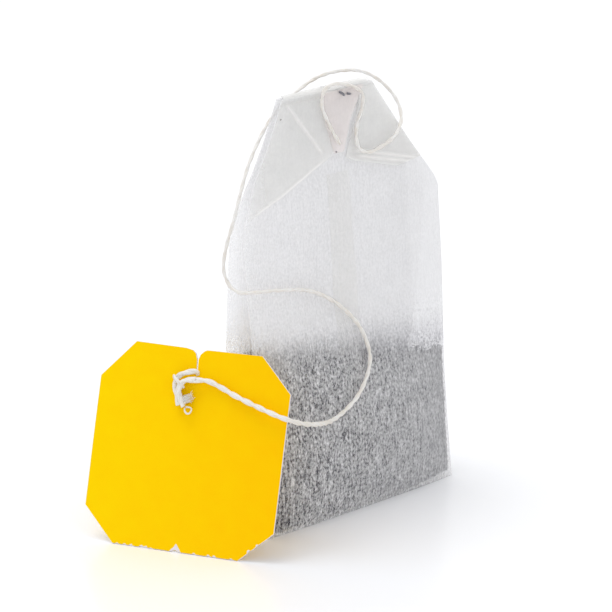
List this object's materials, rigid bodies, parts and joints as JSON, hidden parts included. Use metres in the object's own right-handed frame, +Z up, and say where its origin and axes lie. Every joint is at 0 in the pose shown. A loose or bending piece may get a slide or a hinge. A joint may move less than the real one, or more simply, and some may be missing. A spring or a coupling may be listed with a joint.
{
  "type": "tea bag",
  "caption": "Double-chamber paper tea bag, stapled at its folded head, with a looped string and an eight-sided card tag.",
  "frame": {"origin": "on the ground, under the middle of the box round the bag, its staple and its tag", "axes": "+X along the bag's width, away from the tag; the bag's front faces -Y; +Z up"},
  "size_m": [0.0562, 0.0294, 0.0638],
  "materials": {
    "filter_paper": "thin translucent fibrous paper",
    "tea_leaves": "dry cut leaf",
    "staple_wire": "drawn wire",
    "cotton_string": "two-ply twist",
    "tag_card": "smooth coated card"
  },
  "bodies": {
    "root": {"filter_bag": "filter_paper", "tea_front": "tea_leaves", "tea_rear": "tea_leaves", "staple": "staple_wire", "string": "cotton_string", "string_knot": "cotton_string", "tag": "tag_card"}
  },
  "joints": []
}
